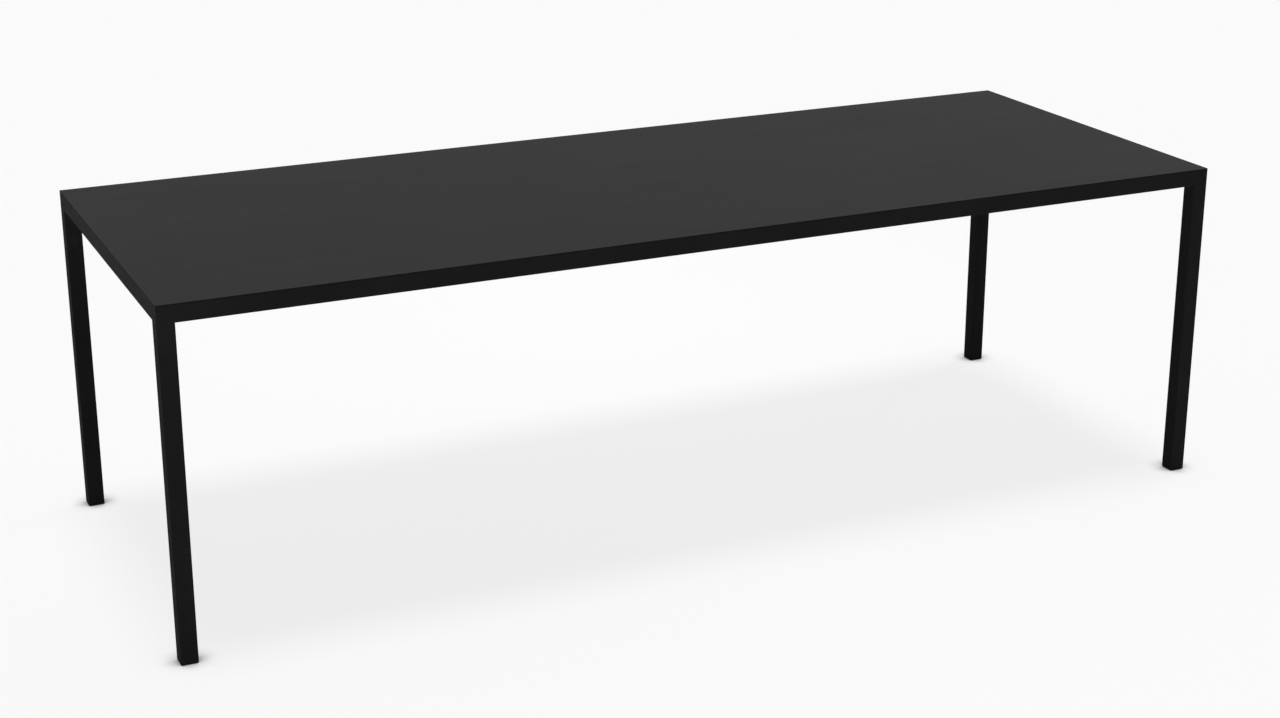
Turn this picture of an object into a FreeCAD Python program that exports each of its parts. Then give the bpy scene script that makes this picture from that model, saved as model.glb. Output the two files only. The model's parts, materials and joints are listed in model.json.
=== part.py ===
import FreeCAD, Part
import Sketcher
import os

# Driving sizes of the table, in millimetres
SIZES = {
    # the whole table, standing with its feet screwed fully in
    "table_length": 2400,
    "table_width": 900,
    "table_height": 735,
    # square steel tube of the rails and legs
    "tube_size": 35,
    "tube_wall": 3,
    "tube_round": 1,
    "mitre_gap": 0.2,
    # top: a skin over a board with a backing sheet
    "skin_thick": 2.5,
    "skin_ease": 0.5,
    "core_thick": 18,
    "core_gap": 0.5,
    "backing_thick": 1,
    # rectangular tubes across the underside of the board
    "bar_width": 30,
    "bar_height": 15,
    "bar_wall": 1.5,
    "bar_round": 1,
    "bar_pitch": 580,
    "bar_screw_inset": 60,
    # steel angles on the short rails
    "ledge_flange": 20,
    "ledge_drop": 14,
    "ledge_thick": 2,
    "ledge_end_gap": 40,
    "ledge_screw_inset": 40,
    # three-arm castings inside the corners
    "arm_length": 90,
    "arm_fit": 0.3,
    "arm_wall": 5,
    "arm_lead": 1.5,
    # countersunk screws that hold the tubes to the castings
    "corner_screw_size": 6,
    "corner_screw_length": 12,
    "corner_screw_tip": 0.8,
    "corner_screw_flats": 4,
    "corner_screw_socket": 2.4,
    "seat_land": 0.4,
    "screw_fit": 0.1,
    "screw_inset": 20,
    "screw_end": 20,
    # pan-head screws that hold the board
    "panel_screw_size": 4,
    "panel_head_size": 8,
    "panel_head_height": 2.5,
    "panel_head_ease": 0.8,
    "panel_screw_flats": 3,
    "panel_screw_socket": 1.4,
    "panel_tip_length": 3,
    "tip_cover": 4.5,
    "access_gap": 1.5,
    # plug in each leg, foot screw and shoe
    "foot_gap": 2,
    "plug_height": 28,
    "plug_fit": 0.1,
    "plug_round": 1.5,
    "plug_lead": 1,
    "foot_screw_size": 8,
    "foot_screw_length": 36,
    "foot_screw_tip": 1,
    "foot_head_ledge": 3,
    "foot_head_height": 2.5,
    "foot_screw_flats": 5,
    "foot_screw_socket": 4,
    "foot_fit": 0.1,
    "shoe_side_gap": 1.5,
    "shoe_floor": 1.5,
    "shoe_lip": 1.8,
    "shoe_round": 0.8,
    "key_hole": 7,
    "stop_gap": 0.2,
}

# Places and sizes that follow from the driving ones
PLACES = {
    "rail_top": "Sizes.table_height - Sizes.skin_thick",
    "mitre_cut": "Sizes.mitre_gap / 2",
    "bore": "Sizes.tube_size - 2 * Sizes.tube_wall",
    "half_tube": "Sizes.tube_size / 2",
    "rail_axis": "Places.rail_top - Places.half_tube",
    "corner_x": "Sizes.table_length / 2 - Places.half_tube",
    "corner_y": "Sizes.table_width / 2 - Places.half_tube",
    "inner_x": "Sizes.table_length / 2 - Sizes.tube_size",
    "inner_y": "Sizes.table_width / 2 - Sizes.tube_size",
    "core_bottom": "Places.rail_top - Sizes.core_thick",
    "board_bottom": "Places.core_bottom - Sizes.backing_thick",
    "core_length": "2 * (Places.inner_x - Sizes.core_gap)",
    "core_width": "2 * (Places.inner_y - Sizes.core_gap)",
    "bar_axis": "Places.board_bottom - Sizes.bar_height / 2",
    "bar_screw_y": "Places.inner_y - Sizes.bar_screw_inset",
    "ledge_half": "Places.inner_y - Sizes.ledge_end_gap",
    "ledge_screw_y": "Places.ledge_half - Sizes.ledge_screw_inset",
    "ledge_screw_x": "Places.inner_x - (Sizes.ledge_flange + Sizes.ledge_thick) / 2",
    "panel_screw_length": "Sizes.bar_wall + Sizes.backing_thick + Sizes.core_thick - Sizes.tip_cover",
    "pilot_depth": "Sizes.core_thick - Sizes.tip_cover / 2",
    "panel_hole": "Sizes.panel_screw_size + 2 * Sizes.screw_fit",
    "access_hole": "Sizes.panel_head_size + 2 * Sizes.access_gap",
    "arm_size": "Places.bore - 2 * Sizes.arm_fit",
    "arm_reach": "Places.half_tube + Sizes.arm_length",
    "near_screw": "Places.half_tube + Sizes.screw_inset",
    "far_screw": "Places.arm_reach - Sizes.screw_end",
    "corner_hole": "Sizes.corner_screw_size + 2 * Sizes.screw_fit",
    "cone_depth": "Sizes.tube_wall - Sizes.seat_land",
    "corner_head_radius": "Sizes.corner_screw_size / 2 + Places.cone_depth",
    "seat_size": "2 * (Places.corner_head_radius + Sizes.screw_fit)",
    "foot_head_bottom": "Sizes.shoe_floor + Sizes.foot_fit",
    "foot_head_top": "Places.foot_head_bottom + Sizes.foot_head_height",
    "foot_head_radius": "Sizes.foot_screw_size / 2 + Sizes.foot_head_ledge",
    "foot_screw_top": "Places.foot_head_top + Sizes.foot_screw_length",
    "pocket_top": "Places.foot_head_top + Sizes.foot_fit",
    "pocket_radius": "Places.foot_head_radius + Sizes.foot_fit",
    "foot_bore_radius": "Sizes.foot_screw_size / 2 + Sizes.foot_fit",
    "shoe_top": "Places.pocket_top + Sizes.shoe_lip",
    "shoe_radius": "Places.bore / 2 - Sizes.shoe_side_gap",
    "plug_bottom": "Places.shoe_top + Sizes.stop_gap",
    "plug_size": "Places.bore - 2 * Sizes.plug_fit",
}

# Each corner: its signs along X and Y, and the turn that points its casting's arms inwards
CORNERS = {
    "front_left": ("-", "-", "0 deg"),
    "front_right": ("", "-", "90 deg"),
    "back_right": ("", "", "180 deg"),
    "back_left": ("-", "", "270 deg"),
}

X_AXIS = FreeCAD.Vector(1, 0, 0)
Y_AXIS = FreeCAD.Vector(0, 1, 0)
Z_AXIS = FreeCAD.Vector(0, 0, 1)
SAME_PLACE = 1e-4

doc = FreeCAD.newDocument("dining_table")


def fill_sheet(name, cells, mark=""):
    """Make a spreadsheet with a named cell in column B for each entry."""
    sheet = doc.addObject("Spreadsheet::Sheet", name)
    for row, (alias, content) in enumerate(cells.items(), start=1):
        sheet.set(f"A{row}", alias)
        sheet.setAlias(f"B{row}", alias)
        sheet.set(f"B{row}", f"{mark}{content}")
    return sheet


sizes = fill_sheet("Sizes", SIZES)
places = fill_sheet("Places", PLACES, "=")
doc.recompute()


# Sketch helpers

def number(expression):
    """The value that an expression over the sheets has now."""
    return float(sizes.evalExpression(expression))


def turned(turn):
    """The rotation about Z by an angle written with its unit."""
    return FreeCAD.Rotation(Z_AXIS, FreeCAD.Units.Quantity(turn).Value)


def new_body(label, x="0", y="0", z="0", turn="0 deg"):
    """An empty body placed by expressions and turned about Z."""
    body = doc.addObject("PartDesign::Body", label)
    body.Label = label
    body.Placement = FreeCAD.Placement(FreeCAD.Vector(), turned(turn))
    put_at(body, x, y, z)
    return body


def put_at(item, x, y, z):
    """Bind an object's place to expressions."""
    item.setExpression("Placement.Base.x", x)
    item.setExpression("Placement.Base.y", y)
    item.setExpression("Placement.Base.z", z)


def new_sketch(body, role, name, offset="0"):
    """A sketch on one of the body's origin planes, moved along the plane's normal."""
    sketch = body.newObject("Sketcher::SketchObject", name)
    plane = next(item for item in body.Origin.OriginFeatures if item.Role == role)
    sketch.AttachmentSupport = [(plane, "")]
    sketch.MapMode = "FlatFace"
    sketch.setExpression("AttachmentOffset.Base.z", offset)
    return sketch


def pin_point(sketch, geometry, point, x, y):
    """Hold a point of a sketch at expressions for its two coordinates."""
    for kind, expression in (("DistanceX", x), ("DistanceY", y)):
        index = sketch.addConstraint(
            Sketcher.Constraint(kind, -1, 1, geometry, point, number(expression)))
        sketch.setExpression(f"Constraints[{index}]", expression)


def draw_polygon(sketch, corners):
    """A closed outline whose corners are pairs of expressions."""
    points = [FreeCAD.Vector(number(x), number(y), 0) for x, y in corners]
    first = sketch.GeometryCount
    count = len(points)
    for index in range(count):
        sketch.addGeometry(Part.LineSegment(points[index], points[(index + 1) % count]), False)
    for index, (x, y) in enumerate(corners):
        following = first + (index + 1) % count
        sketch.addConstraint(Sketcher.Constraint("Coincident", first + index, 2, following, 1))
        pin_point(sketch, first + index, 1, x, y)


def draw_rectangle(sketch, width, height):
    """A rectangle centred on the sketch's origin."""
    right = f"({width}) / 2"
    upper = f"({height}) / 2"
    draw_polygon(sketch, [
        (f"-{right}", f"-{upper}"), (right, f"-{upper}"), (right, upper), (f"-{right}", upper)])


def draw_hexagon(sketch, flats):
    """A hexagon centred on the sketch's origin, given across its flats."""
    side = f"{flats} / 2"
    shoulder = f"{flats} / (2 * sqrt(3))"
    point = f"{flats} / sqrt(3)"
    draw_polygon(sketch, [
        (side, f"-{shoulder}"), (side, shoulder), ("0", point),
        (f"-{side}", shoulder), (f"-{side}", f"-{shoulder}"), ("0", f"-{point}")])


def draw_rounded(sketch, width, height, radius):
    """A centred rectangle whose corners are arcs."""
    half_width = number(width) / 2
    half_height = number(height) / 2
    round_radius = number(radius)
    reach_x = half_width - round_radius
    reach_y = half_height - round_radius
    lines = [
        ((-reach_x, -half_height), (reach_x, -half_height)),
        ((half_width, -reach_y), (half_width, reach_y)),
        ((reach_x, half_height), (-reach_x, half_height)),
        ((-half_width, reach_y), (-half_width, -reach_y)),
    ]
    centres = [(reach_x, -reach_y), (reach_x, reach_y), (-reach_x, reach_y), (-reach_x, -reach_y)]
    quarter = FreeCAD.Units.Quantity("90 deg").getValueAs("rad").Value
    first = sketch.GeometryCount
    for index, (line, centre) in enumerate(zip(lines, centres)):
        start, end = (FreeCAD.Vector(*point, 0) for point in line)
        sketch.addGeometry(Part.LineSegment(start, end), False)
        circle = Part.Circle(FreeCAD.Vector(*centre, 0), Z_AXIS, round_radius)
        sketch.addGeometry(Part.ArcOfCircle(circle, (index - 1) * quarter, index * quarter), False)
    bottom, right, top, left = first, first + 2, first + 4, first + 6
    arcs = [first + 1, first + 3, first + 5, first + 7]
    for index, arc in enumerate(arcs):
        following = first + 2 * ((index + 1) % 4)
        sketch.addConstraint(Sketcher.Constraint("Tangent", first + 2 * index, 2, arc, 1))
        sketch.addConstraint(Sketcher.Constraint("Tangent", arc, 2, following, 1))
    for line in (bottom, top):
        sketch.addConstraint(Sketcher.Constraint("Horizontal", line))
    for arc in arcs[1:]:
        sketch.addConstraint(Sketcher.Constraint("Equal", arcs[0], arc))
    sketch.addConstraint(Sketcher.Constraint("Symmetric", arcs[0], 3, arcs[2], 3, -1, 1))
    named = [
        (Sketcher.Constraint("DistanceX", left, 1, right, 1, 2 * half_width), width),
        (Sketcher.Constraint("DistanceY", bottom, 1, top, 1, 2 * half_height), height),
        (Sketcher.Constraint("Radius", arcs[0], round_radius), radius),
    ]
    for constraint, expression in named:
        index = sketch.addConstraint(constraint)
        sketch.setExpression(f"Constraints[{index}]", expression)


# Feature helpers

def add_pad(body, sketch, length, reverse=False):
    """Extrude a sketch along its plane's normal, or against it."""
    pad = body.newObject("PartDesign::Pad", "Pad")
    pad.Profile = sketch
    pad.setExpression("Length", length)
    pad.Reversed = reverse
    doc.recompute()
    return pad


def add_turning(body, corners):
    """Turn an outline of radius and height about the body's Z axis."""
    sketch = new_sketch(body, "XZ_Plane", "Outline")
    draw_polygon(sketch, corners)
    turning = body.newObject("PartDesign::Revolution", "Turning")
    turning.Profile = sketch
    turning.ReferenceAxis = (sketch, ["V_Axis"])
    turning.Angle = 360
    doc.recompute()
    return turning


def must_cut(body, volume):
    """Stop if the last feature took nothing away."""
    doc.recompute()
    if body.Shape.Volume > volume - SAME_PLACE:
        raise RuntimeError(f"{body.Label}: {body.Tip.Label} cuts nothing")


def add_pocket(body, sketch, depth=None, reverse=False):
    """Cut a sketch to a depth, or both ways right through the body."""
    before = body.Shape.Volume
    pocket = body.newObject("PartDesign::Pocket", "Pocket")
    pocket.Profile = sketch
    if depth is None:
        pocket.SideType = "Symmetric"
        pocket.Type = "ThroughAll"
    else:
        pocket.setExpression("Length", depth)
        pocket.Reversed = reverse
    must_cut(body, before)


def add_holes(body, role, offset, centres, diameter, depth, reverse, seat=None):
    """Drill round holes at the centres, countersunk to the seat's diameter if there is one."""
    sketch = new_sketch(body, role, "Centres", offset)
    for x, y in centres:
        centre = FreeCAD.Vector(number(x), number(y), 0)
        index = sketch.addGeometry(Part.Circle(centre, Z_AXIS, number(diameter) / 2), False)
        pin_point(sketch, index, 3, x, y)
        size = sketch.addConstraint(Sketcher.Constraint("Diameter", index, number(diameter)))
        sketch.setExpression(f"Constraints[{size}]", diameter)
    doc.recompute()
    before = body.Shape.Volume
    hole = body.newObject("PartDesign::Hole", "Hole")
    hole.Profile = sketch
    hole.ThreadType = "None"
    hole.DepthType = "Dimension"
    hole.DrillPoint = "Flat"
    hole.setExpression("Diameter", diameter)
    hole.setExpression("Depth", depth)
    hole.Reversed = reverse
    if seat is not None:
        hole.HoleCutType = "Countersink"
        hole.HoleCutCustomValues = True
        hole.setExpression("HoleCutDiameter", seat)
        hole.HoleCutCountersinkAngle = 90
    must_cut(body, before)


def edges_at(shape, test):
    """Names of the edges whose both ends and middle pass a test."""
    names = []
    for index, edge in enumerate(shape.Edges, start=1):
        middle = edge.valueAt((edge.FirstParameter + edge.LastParameter) / 2)
        points = [vertex.Point for vertex in edge.Vertexes] + [middle]
        if all(test(point) for point in points):
            names.append(f"Edge{index}")
    return names


def level(coordinate, expression):
    """A test for points that lie at a height, or at a place along X or Y."""
    wanted = number(expression)
    return lambda point: abs(getattr(point, coordinate) - wanted) < SAME_PLACE


def at_radius(expression):
    """A test for points at a distance from the Z axis."""
    wanted = number(expression)
    return lambda point: abs((point.x ** 2 + point.y ** 2) ** 0.5 - wanted) < SAME_PLACE


def ease_edges(body, kind, size_name, size, *tests):
    """Fillet or chamfer the edges of the body's tip that pass every test."""
    base = body.Tip
    local = base.Shape
    names = edges_at(local, lambda point: all(test(point) for test in tests))
    if not names:
        raise RuntimeError(f"{body.Label}: no edge to ease")
    feature = body.newObject(f"PartDesign::{kind}", kind)
    feature.Base = (base, names)
    feature.setExpression(size_name, size)
    doc.recompute()


# Square and rectangular tubes

def add_tube(body, role, start, length, width, height, rounding, wall):
    """A hollow tube of rounded outline along the normal of an origin plane."""
    profile = new_sketch(body, role, "Profile", start)
    draw_rounded(profile, width, height, rounding)
    draw_rectangle(profile, f"{width} - 2 * {wall}", f"{height} - 2 * {wall}")
    add_pad(body, profile, length)


def make_rail(label, x, y, turn, length):
    """A rail along local X, its outer face at local -Y, mitred at both ends to rail and leg."""
    body = new_body(label, x, y, "Places.rail_axis", turn)
    half = f"({length} / 2 - Places.mitre_cut)"
    add_tube(body, "YZ_Plane", f"-{half}", f"2 * {half}", "Sizes.tube_size", "Sizes.tube_size",
             "Sizes.tube_round", "Sizes.tube_wall")
    far = f"({half} + Sizes.tube_size)"
    near = f"({half} - 2 * Sizes.tube_size)"
    beyond = "3 * Places.half_tube"
    for plane, outer, inner in (("XZ_Plane", "", "-"), ("XY_Plane", "-", "")):
        mitre = new_sketch(body, plane, "Mitre")
        for end in ("-", ""):
            draw_polygon(mitre, [
                (f"{end}{far}", f"{outer}{beyond}"),
                (f"{end}{near}", f"{inner}{beyond}"),
                (f"{end}{far}", f"{inner}{beyond}")])
        add_pocket(body, mitre)
    corner = f"({length} / 2 - Places.half_tube)"
    centres = [(f"{end}({corner} - {screw})", "0")
               for end in ("-", "") for screw in ("Places.near_screw", "Places.far_screw")]
    add_holes(body, "XY_Plane", "-Places.half_tube", centres, "Places.corner_hole",
              "Sizes.tube_wall", True, "Places.seat_size")
    return body


def make_leg(label, side_x, side_y, turn):
    """A leg with its outer edge at local -X -Y, mitred at the top and screwed from local +X."""
    body = new_body(label, f"{side_x}Places.corner_x", f"{side_y}Places.corner_y", "0", turn)
    top = "(Places.rail_top - Places.mitre_cut)"
    add_tube(body, "XY_Plane", "Sizes.foot_gap", f"{top} - Sizes.foot_gap", "Sizes.tube_size",
             "Sizes.tube_size", "Sizes.tube_round", "Sizes.tube_wall")
    outside = "-3 * Places.half_tube"
    inside = "3 * Places.half_tube"
    above = f"{top} + Sizes.tube_size"
    below = f"{top} - 2 * Sizes.tube_size"
    for plane in ("XZ_Plane", "YZ_Plane"):
        mitre = new_sketch(body, plane, "Mitre")
        draw_polygon(mitre, [(outside, above), (inside, below), (inside, above)])
        add_pocket(body, mitre)
    centres = [("0", f"Places.rail_axis - {screw}") for screw in ("Places.near_screw", "Places.far_screw")]
    add_holes(body, "YZ_Plane", "Places.half_tube", centres, "Places.corner_hole",
              "Sizes.tube_wall", False, "Places.seat_size")
    return body


def make_bar(label, x):
    """A tube across the table under the board, drilled for the board's screws."""
    body = new_body(label, x, "0", "Places.bar_axis", "90 deg")
    add_tube(body, "YZ_Plane", "-Places.inner_y", "2 * Places.inner_y", "Sizes.bar_width",
             "Sizes.bar_height", "Sizes.bar_round", "Sizes.bar_wall")
    centres = [(f"{share} * Places.bar_screw_y", "0") for share in BAR_SCREW_SHARES]
    add_holes(body, "XY_Plane", "Sizes.bar_height / 2", centres, "Places.panel_hole",
              "Sizes.bar_wall", False)
    add_holes(body, "XY_Plane", "-Sizes.bar_height / 2", centres, "Places.access_hole",
              "Sizes.bar_wall", True)
    return body


# Top: skin, board and backing

# Four screws spread evenly along a bar, three along a ledge
BAR_SCREW_SHARES = ("-1", "-1 / 3", "1 / 3", "1")
LEDGE_SCREW_SHARES = ("-1", "0", "1")
BAR_PLACES = {
    "left": "-Sizes.bar_pitch",
    "middle": "0",
    "right": "Sizes.bar_pitch",
}
# Each panel screw: its place and the height of the face that its head bears on
PANEL_SCREWS = [
    (bar, f"{share} * Places.bar_screw_y", "Places.board_bottom - Sizes.bar_wall")
    for bar in BAR_PLACES.values() for share in BAR_SCREW_SHARES
] + [
    (f"{side}Places.ledge_screw_x", f"{share} * Places.ledge_screw_y",
     "Places.board_bottom - Sizes.ledge_thick")
    for side in ("-", "") for share in LEDGE_SCREW_SHARES
]


def make_skin():
    """The sheet that covers the frame and the board, with its upper edge eased."""
    body = new_body("top_skin", z="Places.rail_top")
    outline = new_sketch(body, "XY_Plane", "Outline")
    draw_rounded(outline, "Sizes.table_length", "Sizes.table_width", "Sizes.tube_round")
    add_pad(body, outline, "Sizes.skin_thick")
    ease_edges(body, "Fillet", "Radius", "Sizes.skin_ease", level("z", "Sizes.skin_thick"))
    return body


def make_board_layer(label, bottom, thick, hole_depth):
    """A layer of the board between the rails, drilled from below for the panel screws."""
    body = new_body(label, z=bottom)
    outline = new_sketch(body, "XY_Plane", "Outline")
    draw_rectangle(outline, "Places.core_length", "Places.core_width")
    add_pad(body, outline, thick)
    centres = [(x, y) for x, y, seat in PANEL_SCREWS]
    add_holes(body, "XY_Plane", "0", centres, "Places.panel_hole", hole_depth, True)
    return body


def make_ledge(label, side, turn):
    """A steel angle along a short rail: one flange under the board, one down the rail."""
    body = new_body(label, f"{side}Places.inner_x", "0", "Places.board_bottom", turn)
    section = new_sketch(body, "XZ_Plane", "Section", "-Places.ledge_half")
    draw_polygon(section, [
        ("0", "0"), ("0", "-Sizes.ledge_drop"), ("-Sizes.ledge_thick", "-Sizes.ledge_drop"),
        ("-Sizes.ledge_thick", "-Sizes.ledge_thick"), ("-Sizes.ledge_flange", "-Sizes.ledge_thick"),
        ("-Sizes.ledge_flange", "0")])
    add_pad(body, section, "2 * Places.ledge_half")
    centres = [("Places.ledge_screw_x - Places.inner_x", f"{share} * Places.ledge_screw_y")
               for share in LEDGE_SCREW_SHARES]
    add_holes(body, "XY_Plane", "0", centres, "Places.panel_hole", "Sizes.ledge_thick", False)
    return body


# Corner castings

def make_connector(label, side_x, side_y, turn):
    """A casting with hollow arms along local +X, +Y and -Z, tapped for the corner screws."""
    body = new_body(label, f"{side_x}Places.corner_x", f"{side_y}Places.corner_y",
                    "Places.rail_axis", turn)
    back = "Places.arm_size / 2"
    hollow = "Places.arm_size - 2 * Sizes.arm_wall"
    # plane, start of the arm and its end along the plane's normal, direction against the normal
    arms = (
        ("YZ_Plane", f"-{back}", "Places.arm_reach", False),
        ("XZ_Plane", back, "-Places.arm_reach", True),
        ("XY_Plane", back, "-Places.arm_reach", True),
    )
    for plane, start, end, against in arms:
        square = new_sketch(body, plane, "ArmSquare", start)
        draw_rectangle(square, "Places.arm_size", "Places.arm_size")
        add_pad(body, square, f"{back} + Places.arm_reach", against)
    for test in (level("x", "Places.arm_reach"), level("y", "Places.arm_reach"),
                 level("z", "-Places.arm_reach")):
        ease_edges(body, "Chamfer", "Size", "Sizes.arm_lead", test)
    for plane, start, end, against in arms:
        square = new_sketch(body, plane, "ArmHollow", end)
        draw_rectangle(square, hollow, hollow)
        add_pocket(body, square, "Sizes.arm_length", against)
    along = ("Places.near_screw", "Places.far_screw")
    under = [(screw, "0") for screw in along] + [("0", screw) for screw in along]
    add_holes(body, "XY_Plane", f"-{back}", under, "Places.corner_hole", "Sizes.arm_wall", True)
    inward = [("0", f"-{screw}") for screw in along]
    add_holes(body, "YZ_Plane", back, inward, "Places.corner_hole", "Sizes.arm_wall", False)
    return body


# Screws, each modelled once and placed as links

def make_corner_screw():
    """A countersunk socket screw pointing down from its flat face at Z 0."""
    body = new_body("corner_screw_pattern")
    shank = "Sizes.corner_screw_size / 2"
    end = "Sizes.corner_screw_length"
    add_turning(body, [
        ("0", "0"), ("Places.corner_head_radius", "0"), (shank, "-Places.cone_depth"),
        (shank, f"Sizes.corner_screw_tip - {end}"),
        (f"{shank} - Sizes.corner_screw_tip", f"-{end}"), ("0", f"-{end}")])
    socket = new_sketch(body, "XY_Plane", "Socket")
    draw_hexagon(socket, "Sizes.corner_screw_flats")
    add_pocket(body, socket, "Sizes.corner_screw_socket")
    return body


def make_panel_screw():
    """A pan-head wood screw pointing up, with the bearing face of its head at Z 0."""
    body = new_body("panel_screw_pattern")
    shank = "Sizes.panel_screw_size / 2"
    rim = "Sizes.panel_head_size / 2"
    under = "-Sizes.panel_head_height"
    add_turning(body, [
        ("0", under), (f"{rim} - Sizes.panel_head_ease", under),
        (rim, f"{under} + Sizes.panel_head_ease"), (rim, "0"), (shank, "0"),
        (shank, "Places.panel_screw_length - Sizes.panel_tip_length"),
        ("0", "Places.panel_screw_length")])
    socket = new_sketch(body, "XY_Plane", "Socket", under)
    draw_hexagon(socket, "Sizes.panel_screw_flats")
    add_pocket(body, socket, "Sizes.panel_screw_socket", True)
    return body


def make_group(label, pattern, seats):
    """One node of many like screws: each seat has a rotation and expressions for its place."""
    links = []
    for rotation, x, y, z in seats:
        link = doc.addObject("App::Link", f"{label}_link")
        link.setLink(pattern)
        link.Placement = FreeCAD.Placement(FreeCAD.Vector(), rotation)
        put_at(link, x, y, z)
        links.append(link)
    group = doc.addObject("Part::Compound", label)
    group.Label = label
    group.Links = links
    return group


def rail_screw_seats():
    """Under the rails, two screws at each rail's end, pointing up."""
    upwards = FreeCAD.Rotation(X_AXIS, 180)
    under = "Places.rail_axis - Places.half_tube"
    for side_x, side_y, turn in CORNERS.values():
        for screw in ("Places.near_screw", "Places.far_screw"):
            edge_x = f"{side_x}Places.corner_x"
            edge_y = f"{side_y}Places.corner_y"
            yield upwards, f"{side_x}(Places.corner_x - {screw})", edge_y, under
            yield upwards, edge_x, f"{side_y}(Places.corner_y - {screw})", under


def leg_screw_seats():
    """Two screws in one inner face of each leg, below the corner."""
    inwards = FreeCAD.Rotation(Y_AXIS, 90)
    for side_x, side_y, turn in CORNERS.values():
        facing = turned(turn).multVec(X_AXIS)
        x = f"{side_x}Places.corner_x + {round(facing.x)} * Places.half_tube"
        y = f"{side_y}Places.corner_y + {round(facing.y)} * Places.half_tube"
        for screw in ("Places.near_screw", "Places.far_screw"):
            yield turned(turn) * inwards, x, y, f"Places.rail_axis - {screw}"


def panel_screw_seats():
    """Up through the bars and ledges into the board."""
    for x, y, seat in PANEL_SCREWS:
        yield FreeCAD.Rotation(), x, y, seat


# Feet

def make_plug(label, x, y):
    """A square plug inside the leg's lower end, bored for the foot screw."""
    body = new_body(label, x, y, "Places.plug_bottom")
    outline = new_sketch(body, "XY_Plane", "Outline")
    draw_rounded(outline, "Places.plug_size", "Places.plug_size", "Sizes.plug_round")
    add_pad(body, outline, "Sizes.plug_height")
    ease_edges(body, "Chamfer", "Size", "Sizes.plug_lead", level("z", "Sizes.plug_height"))
    add_holes(body, "XY_Plane", "0", [("0", "0")], "2 * Places.foot_bore_radius",
              "Sizes.plug_height", True)
    return body


def make_foot_screw(label, x, y):
    """A threaded stud with a round head below, turned by a key from underneath."""
    body = new_body(label, x, y)
    shank = "Sizes.foot_screw_size / 2"
    add_turning(body, [
        ("0", "Places.foot_head_bottom"), ("Places.foot_head_radius", "Places.foot_head_bottom"),
        ("Places.foot_head_radius", "Places.foot_head_top"), (shank, "Places.foot_head_top"),
        (shank, "Places.foot_screw_top - Sizes.foot_screw_tip"),
        (f"{shank} - Sizes.foot_screw_tip", "Places.foot_screw_top"), ("0", "Places.foot_screw_top")])
    socket = new_sketch(body, "XY_Plane", "Socket", "Places.foot_head_bottom")
    draw_hexagon(socket, "Sizes.foot_screw_flats")
    add_pocket(body, socket, "Sizes.foot_screw_socket", True)
    return body


def make_shoe(label, x, y):
    """A round shoe that holds the screw's head captive and lets it turn."""
    body = new_body(label, x, y)
    key = "Sizes.key_hole / 2"
    neck = "Places.foot_bore_radius"
    add_turning(body, [
        (key, "0"), ("Places.shoe_radius", "0"), ("Places.shoe_radius", "Places.shoe_top"),
        (neck, "Places.shoe_top"), (neck, "Places.pocket_top"),
        ("Places.pocket_radius", "Places.pocket_top"), ("Places.pocket_radius", "Sizes.shoe_floor"),
        (key, "Sizes.shoe_floor")])
    outside = at_radius("Places.shoe_radius")
    for height in ("0", "Places.shoe_top"):
        ease_edges(body, "Fillet", "Radius", "Sizes.shoe_round", outside, level("z", height))
    return body


# The table, piece by piece

subparts = [
    make_skin(),
    make_board_layer("core_panel", "Places.core_bottom", "Sizes.core_thick", "Places.pilot_depth"),
    make_board_layer("backing_sheet", "Places.board_bottom", "Sizes.backing_thick",
                     "Sizes.backing_thick"),
    make_rail("long_rail_front", "0", "-Places.corner_y", "0 deg", "Sizes.table_length"),
    make_rail("long_rail_back", "0", "Places.corner_y", "180 deg", "Sizes.table_length"),
    make_rail("short_rail_left", "-Places.corner_x", "0", "270 deg", "Sizes.table_width"),
    make_rail("short_rail_right", "Places.corner_x", "0", "90 deg", "Sizes.table_width"),
    make_ledge("end_ledge_left", "-", "180 deg"),
    make_ledge("end_ledge_right", "", "0 deg"),
]
for bar_name, bar_place in BAR_PLACES.items():
    subparts.append(make_bar(f"cross_bar_{bar_name}", bar_place))
for corner_name, (side_x, side_y, turn) in CORNERS.items():
    foot_place = (f"{side_x}Places.corner_x", f"{side_y}Places.corner_y")
    subparts.append(make_leg(f"leg_{corner_name}", side_x, side_y, turn))
    subparts.append(make_connector(f"corner_connector_{corner_name}", side_x, side_y, turn))
    subparts.append(make_plug(f"leg_plug_{corner_name}", *foot_place))
    subparts.append(make_foot_screw(f"foot_screw_{corner_name}", *foot_place))
    subparts.append(make_shoe(f"foot_shoe_{corner_name}", *foot_place))
corner_screw = make_corner_screw()
subparts.append(make_group("rail_screws", corner_screw, rail_screw_seats()))
subparts.append(make_group("leg_screws", corner_screw, leg_screw_seats()))
subparts.append(make_group("panel_screws", make_panel_screw(), panel_screw_seats()))
doc.recompute()

# Check the document, then write one file for each sub-part
for item in doc.Objects:
    if "Invalid" in item.State or "Error" in item.State:
        raise RuntimeError(f"{item.Label} did not recompute: {item.State}")
for subpart in subparts:
    if subpart.Shape.isNull() or not subpart.Shape.isValid():
        raise RuntimeError(f"{subpart.Label} has no valid shape")
os.makedirs("parts", exist_ok=True)
for subpart in subparts:
    subpart.Shape.exportStep(f"parts/{subpart.Label}.step")
    print(f"{subpart.Label}: {len(subpart.Shape.Solids)} solids, {subpart.Shape.Volume:.1f} mm3")
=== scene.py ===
# %% [markdown]
# The object is a long black dining table: a thin laminate top flush on a frame of square steel
# tube, with four legs of the same tube at the corners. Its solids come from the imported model, so
# this lesson starts by loading them. What is left to do here is the finish of each surface, a few
# small pieces that only a mesh shows well, and a plain studio to look at the table in.

# %% Load the table
import json
import math
import bmesh
import bpy
from mathutils import Matrix, Vector


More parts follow.
